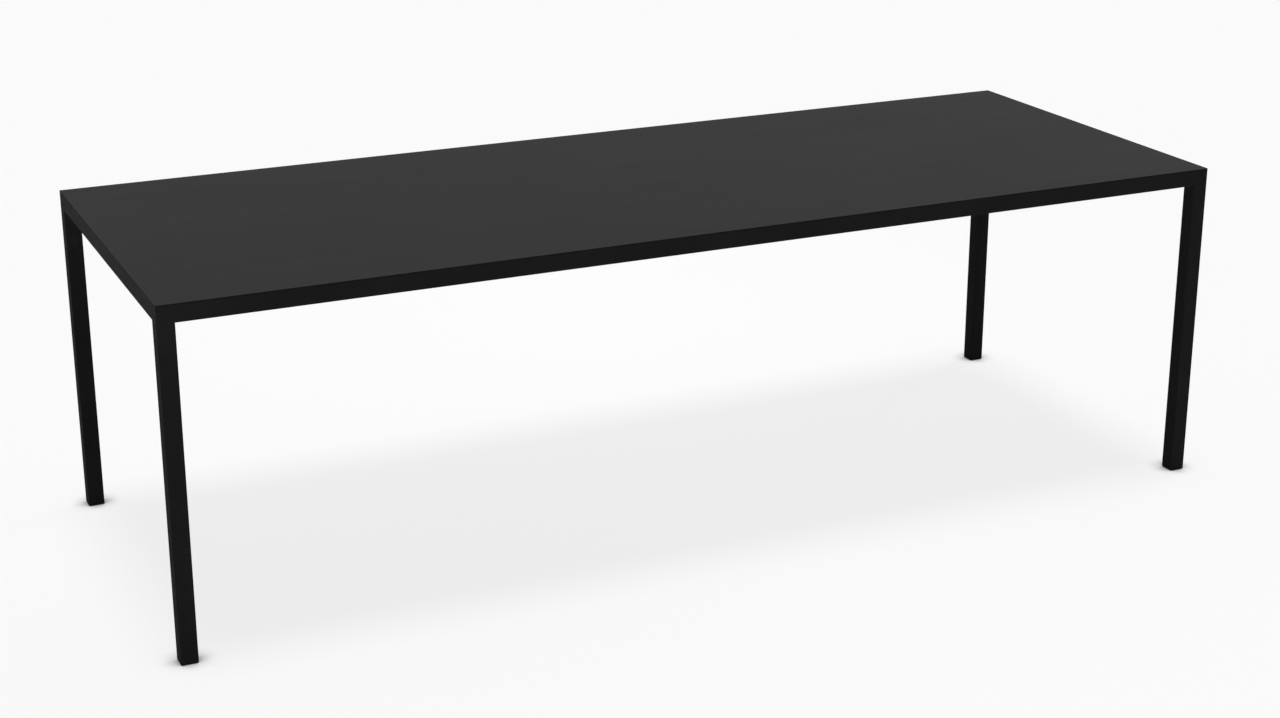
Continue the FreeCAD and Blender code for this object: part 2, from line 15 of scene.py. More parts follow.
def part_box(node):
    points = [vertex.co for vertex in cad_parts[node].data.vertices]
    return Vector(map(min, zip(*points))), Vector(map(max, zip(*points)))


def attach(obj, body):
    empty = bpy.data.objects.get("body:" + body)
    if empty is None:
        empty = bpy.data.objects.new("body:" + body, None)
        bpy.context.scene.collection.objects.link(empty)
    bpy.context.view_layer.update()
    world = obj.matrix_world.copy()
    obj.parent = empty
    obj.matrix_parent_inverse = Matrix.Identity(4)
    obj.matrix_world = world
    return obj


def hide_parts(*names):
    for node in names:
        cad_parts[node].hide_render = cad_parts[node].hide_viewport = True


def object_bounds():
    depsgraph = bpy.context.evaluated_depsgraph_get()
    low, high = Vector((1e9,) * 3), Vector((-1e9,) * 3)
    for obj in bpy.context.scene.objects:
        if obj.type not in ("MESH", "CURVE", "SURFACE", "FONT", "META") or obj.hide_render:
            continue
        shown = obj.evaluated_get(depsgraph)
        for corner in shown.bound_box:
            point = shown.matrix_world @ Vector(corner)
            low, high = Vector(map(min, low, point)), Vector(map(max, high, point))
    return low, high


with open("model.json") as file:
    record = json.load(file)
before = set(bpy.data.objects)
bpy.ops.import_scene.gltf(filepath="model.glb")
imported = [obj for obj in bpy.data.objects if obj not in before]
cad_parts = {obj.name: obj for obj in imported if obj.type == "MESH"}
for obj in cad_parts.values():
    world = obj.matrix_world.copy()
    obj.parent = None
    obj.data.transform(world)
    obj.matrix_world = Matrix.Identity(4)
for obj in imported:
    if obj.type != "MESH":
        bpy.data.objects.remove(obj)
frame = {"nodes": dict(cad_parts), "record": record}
cad_low, cad_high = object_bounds()
print("table of", len(frame["nodes"]), "pieces, size", [round(s, 4) for s in cad_high - cad_low])

# %% [markdown]
# Finishes are node trees, and a few small helpers keep them short. One turns a grey as read on a
# screen into the linear colour that sockets hold. One adds a node and fills its inputs by their
# names, each with a plain value or with a link from another node. The others add the nodes that
# come up most: a sum, a stretched range and a blend. Sizes are in metres, as everywhere in this
# file, so a millimetre gets a name of its own.

# %% Node helpers
MM = 0.001


def grey(level, warm=0.0):
    """A socket colour from a screen grey of 0 to 255, pulled towards brown by warm."""
    # These numbers are the curve that every screen uses for its levels.
    share = level / 255
    linear = share / 12.92 if share <= 0.04045 else ((share + 0.055) / 1.055) ** 2.4
    return (linear * (1 + warm), linear, linear * (1 - warm), 1.0)


def feed(tree, socket, value):
    """Fill an input socket: with a link if the value is another socket, or else as it is."""
    if isinstance(value, bpy.types.NodeSocket):
        tree.links.new(value, socket)
    else:
        socket.default_value = value


def add(tree, kind, **inputs):
    """Add a shader node to a tree and fill its inputs by name."""
    node = tree.nodes.new("ShaderNode" + kind)
    for name, value in inputs.items():
        feed(tree, node.inputs[name.replace("_", " ")], value)
    return node


def operate(tree, kind, operation, first, second):
    """Add a Math or VectorMath node that works on two inputs."""
    node = add(tree, kind)
    node.operation = operation
    feed(tree, node.inputs[0], first)
    feed(tree, node.inputs[1], second)
    return node


def calculate(tree, operation, first, second):
    """What a Math node makes of two inputs."""
    return operate(tree, "Math", operation, first, second).outputs["Value"]


def remap(tree, value, low, high, start=0.0, end=1.0):
    """Stretch a value from one range to another, and hold it there."""
    node = add(tree, "MapRange", Value=value, From_Min=low, From_Max=high, To_Min=start, To_Max=end)
    return node.outputs["Result"]


def mix(tree, kind, share, first, second):
    """Blend two inputs of a kind, Float or Color, by a share."""
    node = add(tree, "Mix")
    node.data_type = {"Float": "FLOAT", "Color": "RGBA"}[kind]
    # The node has sockets of the same name for each kind, so they are told apart by identifier.
    sockets = {socket.identifier: socket for socket in (*node.inputs, *node.outputs)}
    feed(tree, sockets["Factor_Float"], share)
    feed(tree, sockets["A_" + kind], first)
    feed(tree, sockets["B_" + kind], second)
    return sockets["Result_" + kind]


print("a screen grey of 60 is", round(grey(60)[0], 4), "in a socket")

# %% [markdown]
# Several finishes share an effect at different sizes: a slow drift of tone, a fine grain, a rub of
# the edges and a drag of fibres. Each effect is a node group, built once and placed in a material
# with values of its own. A group only puts out colours and values that change over the surface.
# The shader itself stays in the material, where an exporter can read it. Noise seldom leaves the
# middle of its range, so that middle is stretched to run from 0 to 1.

# %% Shared effects
NOISE_RANGE = (0.3, 0.7)
TOOTH_FINER = 2.5
TOOTH_SHARE = 0.5
# A rub comes and goes in patches of this size, and keeps at least this share between them.
RUB_PATCH = 12 * MM
RUB_PATCH_RANGE = (0.35, 0.65)
RUB_LEAST = 0.3
# How alike the real normal and the rounded one are where a rub starts and where it is full.
RUB_STARTS = 0.995
RUB_FULL = 0.8


def new_group(name, inputs, outputs):
    """An empty node group, the sockets that it is given and the sockets of what it makes."""
    tree = bpy.data.node_groups.new(name, "ShaderNodeTree")
    for label, value in inputs.items():
        kind = "NodeSocketFloat" if isinstance(value, float) else "NodeSocketColor"
        tree.interface.new_socket(label, in_out="INPUT", socket_type=kind).default_value = value
    for label, kind in outputs.items():
        tree.interface.new_socket(label, in_out="OUTPUT", socket_type="NodeSocket" + kind)
    return tree, tree.nodes.new("NodeGroupInput").outputs, tree.nodes.new("NodeGroupOutput").inputs


def place_on_piece(tree):
    """The place of a point on its piece, in metres."""
    return add(tree, "TexCoord").outputs["Object"]


def place_noise(tree, size, detail, place=None):
    """Noise with features of a size in metres, at a given place or the place on the piece."""
    scale = calculate(tree, "DIVIDE", 1.0, size)
    noise = add(tree, "TexNoise", Vector=place or place_on_piece(tree), Scale=scale, Detail=detail)
    return noise.outputs["Fac"]


def make_tone_drift():
    """Two close tones that drift into each other, with a finer fleck on top."""
    inputs = {"Dark": grey(40), "Light": grey(50), "Patch": 0.2, "Fleck": 0.001, "Fleck Share": 0.3}
    tree, given, made = new_group("tone_drift", inputs, {"Color": "Color", "Drift": "Float"})
    drift = remap(tree, place_noise(tree, given["Patch"], detail=3.0), *NOISE_RANGE)
    fleck = remap(tree, place_noise(tree, given["Fleck"], detail=2.0), *NOISE_RANGE)
    share = mix(tree, "Float", given["Fleck Share"], drift, fleck)
    feed(tree, made["Color"], mix(tree, "Color", share, given["Dark"], given["Light"]))
    feed(tree, made["Drift"], drift)
    return tree


def make_fine_grain():
    """A height field of small rounded grains, with a finer tooth between them."""
    tree, given, made = new_group("fine_grain", {"Grain": 0.0006}, {"Height": "Float"})
    scale = calculate(tree, "DIVIDE", 1.0, given["Grain"])
    cells = add(tree, "TexVoronoi", Vector=place_on_piece(tree), Scale=scale)
    cells.feature = "SMOOTH_F1"
    grains = calculate(tree, "SUBTRACT", 1.0, cells.outputs["Distance"])
    tooth = place_noise(tree, calculate(tree, "DIVIDE", given["Grain"], TOOTH_FINER), detail=2.0)
    height = calculate(tree, "ADD", grains, calculate(tree, "MULTIPLY", tooth, TOOTH_SHARE))
    feed(tree, made["Height"], height)
    return tree


def make_edge_rub():
    """A mask that is 1 along sharp edges and fades over a width."""
    tree, given, made = new_group("edge_rub", {"Width": 0.001}, {"Mask": "Float"})
    rounded = add(tree, "Bevel", Radius=given["Width"]).outputs["Normal"]
    real = add(tree, "NewGeometry").outputs["True Normal"]
    alike = operate(tree, "VectorMath", "DOT_PRODUCT", rounded, real).outputs["Value"]
    edge = remap(tree, alike, RUB_STARTS, RUB_FULL)
    patchy = remap(tree, place_noise(tree, RUB_PATCH, detail=4.0), *RUB_PATCH_RANGE, start=RUB_LEAST)
    feed(tree, made["Mask"], calculate(tree, "MULTIPLY", edge, patchy))
    return tree


def make_fibre_drag():
    """Streaks: noise whose features have a size in metres along each of X, Y and Z."""
    inputs = {"Along X": 0.02, "Along Y": 0.002, "Along Z": 0.002}
    tree, given, made = new_group("fibre_drag", inputs, {"Streak": "Float"})
    sizes = add(tree, "CombineXYZ", X=given["Along X"], Y=given["Along Y"], Z=given["Along Z"])
    squeezed = operate(tree, "VectorMath", "DIVIDE", place_on_piece(tree), sizes.outputs["Vector"])
    streak = place_noise(tree, 1.0, detail=3.0, place=squeezed.outputs["Vector"])
    feed(tree, made["Streak"], remap(tree, streak, *NOISE_RANGE))
    return tree


EFFECTS = {
    "drift": make_tone_drift(),
    "grain": make_fine_grain(),
    "rub": make_edge_rub(),
    "fibre": make_fibre_drag(),
}
print("shared effects:", sorted(EFFECTS))

# %% [markdown]
# A material starts with what every finish here has: a base colour that drifts a little, a roughness
# that follows the drift, and a bump from the fine grain. Values that are the same all over the
# surface, such as the metallic share and the specular level, are set on the shader's own sockets.
# A finish is kept under its name, which is the name that the record uses for it.

# %% A material to start from
BUMP_STRENGTH = 0.6
FINISHES = {}


def place_effect(tree, name, **values):
    """Put one of the shared effects into a material, with its own values."""
    node = add(tree, "Group")
    node.node_tree = EFFECTS[name]
    for label, value in values.items():
        feed(tree, node.inputs[label.replace("_", " ")], value)
    return node


def new_finish(name, tones, patch, fleck, rough, grain, depth, metal=0.0, specular=0.5, flecked=0.3):
    """A material with drifting tones, drifting roughness and a fine grain of a depth in metres."""
    material = bpy.data.materials.new(name)
    material.use_nodes = True
    FINISHES[name] = material
    tree = material.node_tree
    shader = tree.nodes["Principled BSDF"]
    shader.inputs["Metallic"].default_value = metal
    shader.inputs["Specular IOR Level"].default_value = specular
    dark, light = tones
    drift = place_effect(
        tree, "drift", Dark=dark, Light=light, Patch=patch, Fleck=fleck, Fleck_Share=flecked)
    relief = place_effect(tree, "grain", Grain=grain).outputs["Height"]
    bump = add(tree, "Bump", Strength=BUMP_STRENGTH, Distance=depth, Height=relief)
    feed(tree, shader.inputs["Base Color"], drift.outputs["Color"])
    feed(tree, shader.inputs["Roughness"], remap(tree, drift.outputs["Drift"], 0.0, 1.0, *rough))
    feed(tree, shader.inputs["Normal"], bump.outputs["Normal"])
    return tree, shader


def source(shader, name):
    """The socket that feeds an input of a shader so far."""
    return shader.inputs[name].links[0].from_socket


def blend_tone(tree, shader, share, tone):
    """Blend a tone into a finish's colour by a varying share."""
    colour = mix(tree, "Color", share, source(shader, "Base Color"), tone)
    feed(tree, shader.inputs["Base Color"], colour)


print("a finish starts with the effects drift and grain")

# %% [markdown]
# The top is a thin laminate sheet, matte charcoal on its face, with a dyed black core that shows
# only along its 2.5 mm edge. The edge could have a second material, with its faces picked out. One
# material is simpler, because the surface normal tells face from edge by itself. The face has a
# soft pearl grain well under a millimetre, and long faint streaks in its roughness where a cloth
# has wiped it. The edge has the fine layers of the pressed sheets, which are streaks squeezed flat
# along Z.

# %% Top laminate
FACE_TONES = (grey(40), grey(49))
CORE_TONES = (grey(27), grey(31))
CORE_ROUGH = 0.9
WIPE_SHARE = 0.02
# How far up the normal points where the core still shows in full and where the face does.
CORE_NORMAL_Z = 0.3
FACE_NORMAL_Z = 0.9


def make_laminate():
    """Matte face, layered dark core along the edges."""
    tree, shader = new_finish(
        "top_laminate", FACE_TONES, patch=0.4, fleck=0.9 * MM, rough=(0.44, 0.49),
        grain=0.8 * MM, depth=0.03 * MM, specular=0.045, flecked=0.7)
    normal = add(tree, "SeparateXYZ", Vector=add(tree, "TexCoord").outputs["Normal"])
    is_face = remap(tree, normal.outputs["Z"], CORE_NORMAL_Z, FACE_NORMAL_Z)
    layers = place_effect(tree, "fibre", Along_X=6 * MM, Along_Y=6 * MM, Along_Z=0.25 * MM)
    core_colour = mix(tree, "Color", layers.outputs["Streak"], *CORE_TONES)
    colour = mix(tree, "Color", is_face, core_colour, source(shader, "Base Color"))
    feed(tree, shader.inputs["Base Color"], colour)
    wiped = place_effect(tree, "fibre", Along_X=0.5, Along_Y=0.03, Along_Z=0.5)
    wipe = calculate(tree, "MULTIPLY", wiped.outputs["Streak"], WIPE_SHARE)
    face_rough = calculate(tree, "ADD", source(shader, "Roughness"), wipe)
    feed(tree, shader.inputs["Roughness"], mix(tree, "Float", is_face, CORE_ROUGH, face_rough))


make_laminate()
print("face grey", round(FACE_TONES[1][0], 4), "core grey", round(CORE_TONES[1][0], 4))

# %% [markdown]
# The steel is powder coated in black with a fine texture, like very fine sandpaper. The long
# corners of the tubes are round in the solids, but mitred ends and cut edges are sharp there. On
# such edges the powder draws back a little as it melts, and hands and cloths polish it, so they are
# a touch lighter and smoother. The edge mask comes from the Bevel node, which compares the real
# normal with a rounded one, so it needs no change to the mesh. The same node, under the bump, also
# lets sharp edges take the light as a coated edge does, which is never quite sharp.

# %% Frame coat
COAT_TONES = (grey(20), grey(44))
COAT_RUBBED = grey(52)
EDGE_ROUNDING = 0.8 * MM
EDGE_WEAR = 0.3
EDGE_POLISH = 0.4


def rub_edges(tree, shader, width, wear, tone):
    """Blend a rubbed tone into a finish along its sharp edges, and give the share that is worn."""
    rub = place_effect(tree, "rub", Width=width)
    worn = calculate(tree, "MULTIPLY", rub.outputs["Mask"], wear)
    blend_tone(tree, shader, worn, tone)
    return worn


def make_coat():
    """Black fine-texture powder coat with slightly rubbed edges."""
    tree, shader = new_finish(
        "frame_coat", COAT_TONES, patch=0.15, fleck=0.6 * MM, rough=(0.64, 0.76),
        grain=0.6 * MM, depth=0.1 * MM, specular=0.007, flecked=0.8)
    rounded = add(tree, "Bevel", Radius=EDGE_ROUNDING)
    bump = source(shader, "Normal").node
    feed(tree, bump.inputs["Normal"], rounded.outputs["Normal"])
    worn = rub_edges(tree, shader, width=1.0 * MM, wear=EDGE_WEAR, tone=COAT_RUBBED)
    polish = calculate(tree, "MULTIPLY", worn, EDGE_POLISH)
    rough = calculate(tree, "SUBTRACT", source(shader, "Roughness"), polish)
    feed(tree, shader.inputs["Roughness"], rough)


make_coat()
print("frame coat made, with edges rubbed by", EDGE_WEAR)

# %% [markdown]
# Under the board lies a balancing sheet, a cheaper black laminate whose paper fibres still show.
# The board itself is fibreboard, all but hidden between the rails, the skin and that sheet. Both
# are plain finishes with streaks of fibre blended into the colour: long thin ones in the paper and
# short ones in the board.

# %% Board finishes
def show_fibres(tree, shader, sizes, share, tone):
    """Blend fibres of a tone into a finish by a share. Their sizes are along X, Y and Z."""
    along_x, along_y, along_z = sizes
    fibre = place_effect(tree, "fibre", Along_X=along_x, Along_Y=along_y, Along_Z=along_z)
    faint = calculate(tree, "MULTIPLY", fibre.outputs["Streak"], share)
    blend_tone(tree, shader, faint, tone)


def make_backing():
    """Plain black balancing laminate with a faint paper fibre."""
    tree, shader = new_finish(
        "backing_laminate", (grey(29), grey(35)), patch=0.25, fleck=1.2 * MM, rough=(0.55, 0.7),
        grain=1.0 * MM, depth=0.03 * MM, specular=0.2)
    show_fibres(tree, shader, sizes=(14 * MM, 1.6 * MM, 14 * MM), share=0.3, tone=grey(44))


def make_fibreboard():
    """Raw fibreboard: warm brown, felted, with short paler fibres."""
    tree, shader = new_finish(
        "core_board", (grey(118, warm=0.35), grey(138, warm=0.35)), patch=0.05, fleck=0.8 * MM,
        rough=(0.8, 0.95), grain=0.5 * MM, depth=0.08 * MM, specular=0.3)
    pale = grey(165, warm=0.3)
    show_fibres(tree, shader, sizes=(4 * MM, 0.6 * MM, 0.6 * MM), share=0.4, tone=pale)


make_backing()
make_fibreboard()
print("board finishes made")

# %% [markdown]
# The small parts have the finishes that such parts are sold with: grey as-cast corner castings,
# black oxide on the countersunk screws, bright zinc on the panel screws and the levelling screws,
# and moulded black nylon for the plugs and shoes. Each is the material to start from, with a drift
# and a grain of its own size. Only the oxide gets more: it wears to metal on its edges, by the same
# rub as the coat's.

# %% Metal and plastic finishes
def make_oxide():
    """Black oxide on steel: an oily dark film that wears to metal on sharp edges."""
    tree, shader = new_finish(
        "black_steel", (grey(26), grey(32)), patch=0.004, fleck=0.4 * MM, rough=(0.4, 0.55),
        grain=0.3 * MM, depth=0.008 * MM, metal=0.7, specular=0.1)
    rub_edges(tree, shader, width=0.3 * MM, wear=0.5, tone=grey(150))


new_finish(
    "cast_alloy", (grey(168), grey(188)), patch=0.02, fleck=0.8 * MM, rough=(0.45, 0.62),
    grain=0.9 * MM, depth=0.12 * MM, metal=1.0)
new_finish(
    "zinc_steel", (grey(186, warm=-0.03), grey(206, warm=0.02)), patch=0.006, fleck=0.4 * MM,
    rough=(0.24, 0.4), grain=0.3 * MM, depth=0.006 * MM, metal=1.0)
new_finish(
    "foot_plastic", (grey(24), grey(30)), patch=0.01, fleck=0.5 * MM, rough=(0.42, 0.55),
    grain=0.35 * MM, depth=0.03 * MM, specular=0.3)
make_oxide()
print("finishes:", sorted(FINISHES))

# %% [markdown]
# The record says which finish each sub-part takes, so dressing them is one loop. A solid's mesh is
# left as it is: only its material slot changes.

# %% Dress the solids
for subpart in frame["record"]["subparts"]:
    solid = frame["nodes"][subpart["node"]]
    solid.data.materials.clear()
    solid.data.materials.append(FINISHES[subpart["material_slot"]])

# %% [markdown]
# Each levelling foot hangs on a screw with a metric thread. The solid of it is a plain rod, and
# when the foot is let down its thread is in plain sight, so a threaded mesh stands for it. A
# thread could be a bump, but its outline would stay smooth. Here one tooth of the thread is spun
# round the axis while it climbs one pitch a turn, and the ends are cut flat.

# %% Cut a thread
PITCH = 1.25 * MM
ROD_RADIUS = 4 * MM
TIP_CHAMFER = 1 * MM
STEPS_PER_TURN = 24
# One turn more than needed at each end, to be cut away.
SPARE_TURNS = 2
# Flanks of 30 degrees, a root of a quarter pitch and a crest of an eighth make a tooth this deep.
TOOTH_DEPTH = 5 / 8 * PITCH * math.cos(math.radians(30))
# Points nearer than this count as one, and a cut through them has to be finer still.
TOUCH = 1e-6
CUT_TOUCH = 1e-7


def cut_thread(low, high):
    """A bmesh of a right-hand thread about the Z axis, cut flat at two heights and open there."""
    root = ROD_RADIUS - TOOTH_DEPTH
    tooth = ((root, 0), (root, PITCH / 4), (ROD_RADIUS, PITCH * 9 / 16),
             (ROD_RADIUS, PITCH * 11 / 16), (root, PITCH))
    bm = bmesh.new()
    points = [bm.verts.new((radius, 0, low - PITCH + rise)) for radius, rise in tooth]
    edges = [bm.edges.new(pair) for pair in zip(points, points[1:])]
    turns = math.ceil((high - low) / PITCH) + SPARE_TURNS
    bmesh.ops.spin(
        bm, geom=points + edges, cent=(0, 0, 0), axis=(0, 0, 1), angle=2 * math.pi * turns,
        dvec=(0, 0, PITCH / STEPS_PER_TURN), steps=turns * STEPS_PER_TURN, use_merge=False)
    bmesh.ops.remove_doubles(bm, verts=bm.verts, dist=TOUCH)
    for height, side in ((low, -1), (high, 1)):
        bmesh.ops.bisect_plane(
            bm, geom=bm.verts[:] + bm.edges[:] + bm.faces[:], dist=CUT_TOUCH,
            plane_co=(0, 0, height), plane_no=(0, 0, side), clear_outer=True)
    return bm


def ease_tip(bm, high):
    """Turn the thread's upper end down to a cone, as a lathe does."""
    for vert in bm.verts:
        limit = ROD_RADIUS - (vert.co.z - (high - TIP_CHAMFER))
        if vert.co.z > high - TIP_CHAMFER and vert.co.xy.length > limit:
            vert.co.xy *= limit / vert.co.xy.length


print("thread pitch", PITCH, "m, rod radius", ROD_RADIUS, "m")

# %% [markdown]
# The screw's head is a flat disc with a hexagon socket that a key reaches through the shoe. It
# could be a separate disc pushed onto the thread, but then faces would hide inside the screw. Here
# its rim starts as a circle at the head's upper face and is extruded down, and the flat rings
# between circle, thread and hexagon are filled in their own planes, so the screw is one closed skin.

# %% Shape the screw's head
HEAD_HEIGHT = 2.5 * MM
HEAD_SIDES = 48
HEAD_EASE = 0.3 * MM
SOCKET_FLATS = 5 * MM
SOCKET_DEPTH = 4 * MM
SOCKET_SIDES = 6


def rim_at(bm, height, loose=False):
    """The open edges of a bmesh that lie at one height, with the loose ones too where wanted."""
    return [edge for edge in bm.edges
            if (edge.is_boundary or (loose and edge.is_wire))
            and all(abs(vert.co.z - height) < TOUCH for vert in edge.verts)]


def extrude_rim(bm, edges, shift):
    """Extrude open edges by a shift, and give the edges and the points of the new rim."""
    made = bmesh.ops.extrude_edge_only(bm, edges=edges)["geom"]
    points = [item for item in made if isinstance(item, bmesh.types.BMVert)]
    bmesh.ops.translate(bm, verts=points, vec=shift)
    return [item for item in made if isinstance(item, bmesh.types.BMEdge)], points


def add_head(bm, low, radius):
    """Close a thread's lower end with a socketed disc whose lower face is at a height."""
    upper = low + HEAD_HEIGHT
    # The disc: a ring round the thread's end, and its rim extruded down.
    bmesh.ops.create_circle(
        bm, segments=HEAD_SIDES, radius=radius, matrix=Matrix.Translation((0, 0, upper)))
    bmesh.ops.triangle_fill(bm, use_beauty=True, edges=rim_at(bm, upper, loose=True))
    outer = [edge for edge in rim_at(bm, upper) if edge.verts[0].co.xy.length > radius - TOUCH]
    extrude_rim(bm, outer, (0, 0, -HEAD_HEIGHT))
    # The socket: a ring from the rim in to a hexagon, and its walls extruded up to a floor.
    reach = SOCKET_FLATS / 2 / math.cos(math.pi / SOCKET_SIDES)
    bmesh.ops.create_circle(
        bm, segments=SOCKET_SIDES, radius=reach, matrix=Matrix.Translation((0, 0, low)))
    bmesh.ops.triangle_fill(bm, use_beauty=True, edges=rim_at(bm, low, loose=True))
    hexagon = [edge for edge in rim_at(bm, low) if edge.verts[0].co.xy.length < reach + TOUCH]
    extrude_rim(bm, hexagon, (0, 0, SOCKET_DEPTH))
    bmesh.ops.holes_fill(bm, edges=rim_at(bm, low + SOCKET_DEPTH))


def ease_head(bm, radius):
    """Bevel the head's two outer edges."""
    rims = [edge for edge in bm.edges
            if all(abs(vert.co.xy.length - radius) < TOUCH for vert in edge.verts)
            and abs(edge.verts[0].co.z - edge.verts[1].co.z) < TOUCH]
    bmesh.ops.bevel(
        bm, geom=rims, offset=HEAD_EASE, segments=2, profile=0.5, affect="EDGES", material=-1)


def make_foot_screw(low, high, radius):
    """A bmesh of the whole levelling screw on the Z axis."""
    bm = cut_thread(low + HEAD_HEIGHT, high)
    ease_tip(bm, high)
    bmesh.ops.holes_fill(bm, edges=rim_at(bm, high))
    add_head(bm, low, radius)
    ease_head(bm, radius)
    bmesh.ops.recalc_face_normals(bm, faces=bm.faces)
    return bm


print("head", HEAD_HEIGHT, "m high, socket", SOCKET_FLATS, "m across its flats")

# %% [markdown]
# A finished mesh becomes a piece of the table once it has a finish and a body to ride on. It is
# shaded smooth over gentle angles only, so that the crests of the thread stay crisp. Each of the
# four screws takes its place and its size from the plain rod that it replaces.

# %% Make the foot screws
CORNERS = ("front_left", "front_right", "back_right", "back_left")
SMOOTH_ANGLE = math.radians(35)


def add_object(name, data):
    """Put an object into the scene, with its mesh, lamp or lens."""
    thing = bpy.data.objects.new(name, data)
    bpy.context.scene.collection.objects.link(thing)
    return thing


def add_piece(name, bm, finish, body, smooth_angle=SMOOTH_ANGLE):
    """Turn a bmesh into a piece of the table that rides on a body and wears a finish."""
    mesh = bpy.data.meshes.new(name)
    bm.to_mesh(mesh)
    mesh.materials.append(FINISHES[finish])
    mesh.shade_smooth()
    mesh.set_sharp_from_angle(angle=smooth_angle)
    piece = add_object(name, mesh)
    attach(piece, body)
    return piece


for corner in CORNERS:
    rod_low, rod_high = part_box(f"foot_screw_{corner}")
    axis = (rod_low + rod_high) / 2
    screw = make_foot_screw(rod_low.z, rod_high.z, (rod_high.x - rod_low.x) / 2)
    bmesh.ops.translate(screw, verts=screw.verts, vec=(axis.x, axis.y, 0))
    piece = add_piece(f"threaded_foot_screw_{corner}", screw, "zinc_steel", f"screw_{corner}")
    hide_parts(f"foot_screw_{corner}")
    print(piece.name, len(screw.faces), "faces, open edges", sum(e.is_boundary for e in screw.edges))
    screw.free()

# %% [markdown]
# The cross bars and the end ledges are welded to the rails, and the coat runs over the welds. A
# fillet weld is a small round bead in the corner of two faces, with a ripple for each pulse of the
# torch. A smooth rod would look like a wire there, and a bump would be lost in the coat's grain, so
# the ripples are real. A bead starts as a circle at one end of its seam. Its rim is extruded a
# short step at a time and drawn in at every second step, and both ends taper.

# %% Lay a weld bead
BEAD_RADIUS = 2.4 * MM
BEAD_SIDES = 12
BEAD_TAPER = 0.5
RIPPLE = 1.5 * MM
RIPPLE_DRAW = 0.9
LEAST_RIPPLES = 3


def lay_bead(bm, start, end):
    """A rippled bead along a straight seam, closed at both ends."""
    along = end - start
    steps = 2 * max(LEAST_RIPPLES, round(along.length / RIPPLE))
    turn = along.to_track_quat("Z", "Y").to_matrix().to_4x4()
    bmesh.ops.create_circle(
        bm, segments=BEAD_SIDES, radius=BEAD_RADIUS * BEAD_TAPER,
        matrix=Matrix.Translation(start) @ turn)
    # Beads laid before are closed, so the only loose edges are this circle's.
    rim = [edge for edge in bm.edges if edge.is_wire]
    bmesh.ops.contextual_create(bm, geom=rim)
    size = BEAD_TAPER
    for step in range(1, steps + 1):
        rim, points = extrude_rim(bm, rim, along / steps)
        centre = start + along * step / steps
        wanted = BEAD_TAPER if step == steps else (1.0 if step % 2 else RIPPLE_DRAW)
        bmesh.ops.scale(
            bm, vec=Vector((1, 1, 1)) * (wanted / size), space=Matrix.Translation(-centre), verts=points)
        size = wanted
    bmesh.ops.contextual_create(bm, geom=rim)


print("bead radius", BEAD_RADIUS, "m, ripples of", RIPPLE, "m")

# %% [markdown]
# A cross bar is welded all round its open sides, at both ends. A ledge carries less and would warp
# from so much heat, so it has short stitches along its rail.

# %% Weld the bars and ledges
LEDGE_STITCHES = 5
STITCH_LENGTH = 32 * MM
STITCH_LIFT = BEAD_RADIUS / 3
BEAD_SMOOTH_ANGLE = math.radians(60)


def make_bar_welds(bar):
    """Beads at both ends of a cross bar: under it and up its two sides."""
    low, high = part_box(bar)
    bm = bmesh.new()
    for y in (low.y, high.y):
        lay_bead(bm, Vector((low.x, y, low.z)), Vector((high.x, y, low.z)))
        for x in (low.x, high.x):
            lay_bead(bm, Vector((x, y, low.z)), Vector((x, y, high.z - BEAD_RADIUS)))
    return bm


def make_ledge_welds(ledge):
    """Short stitches, evenly spaced, under the foot of a ledge where it meets its rail."""
    low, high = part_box(ledge)
    seam_x = low.x if low.x < 0 else high.x
    spacing = (high.y - low.y) / LEDGE_STITCHES
    bm = bmesh.new()
    for index in range(LEDGE_STITCHES):
        middle = low.y + spacing * (index + 0.5)
        start = Vector((seam_x, middle - STITCH_LENGTH / 2, low.z + STITCH_LIFT))
        lay_bead(bm, start, start + Vector((0, STITCH_LENGTH, 0)))
    return bm


SEAMS = {f"cross_bar_{side}": make_bar_welds for side in ("left", "middle", "right")}
SEAMS.update({f"end_ledge_{side}": make_ledge_welds for side in ("left", "right")})
for node, make_welds in SEAMS.items():
    welds = make_welds(node)
    bmesh.ops.recalc_face_normals(welds, faces=welds.faces)
    piece = add_piece(f"welds_{node}", welds, "frame_coat", "table_frame", BEAD_SMOOTH_ANGLE)
    print(piece.name, len(welds.faces), "faces")
    welds.free()

# %% [markdown]
# The studio floor is pale and wide, so it is the background too. For the camera, and for what
# mirrors and glass see, most of its tone is a plain emission, which keeps it near white and keeps
# the table's shadow faint. The rest is a real diffuse floor that takes the shadow and throws light
# back up. A wide patch behind the table is a touch whiter, as in the picture: a pool of painted
# light. An occlusion node darkens the plain tone close round the feet, which is painted shade, a
# painted contact shadow. It leans a little, most of all to the front, because in the picture these
# small shadows are faintest there. From below the floor is clear, so that the underside of the
# table can be looked at.

# %% Floor material
WHITE = (1.0, 1.0, 1.0, 1.0)
FLOOR_COLOUR = (0.9, 0.9, 0.9, 1.0)
FLOOR_TONE = 0.966
# A pool of painted light: the floor's plain tone is whitest at this place and fades over this radius.
PAINTED_GLOW_PLACE = (0.4, 1.1, 0.0)
PAINTED_GLOW_RADIUS = 1.8
PLAIN_SHARE = 0.833
# A painted contact shadow: the occlusion node darkens the plain tone within this reach of the feet.
CONTACT_REACH = 0.06
# What the occlusion node gives where the plain tone is black, and where it is clear.
CONTACT_BLACK = 0.37
CONTACT_CLEAR = 0.92
CONTACT_LEAN = (-0.05, -0.17, 0.984)


def mix_shaders(tree, share, first, second):
    """The first of two shaders where a share is 0, and the second where it is 1."""
    node = add(tree, "MixShader", Fac=share)
    feed(tree, node.inputs[1], first)
    feed(tree, node.inputs[2], second)
    return node.outputs["Shader"]


def add_seen_share(tree):
    """1 for rays from the camera, from gloss and through glass, 0 for light that spreads."""
    path = add(tree, "LightPath")
    seen = calculate(tree, "ADD", path.outputs["Is Camera Ray"], path.outputs["Is Glossy Ray"])
    return calculate(tree, "MAXIMUM", seen, path.outputs["Is Transmission Ray"])


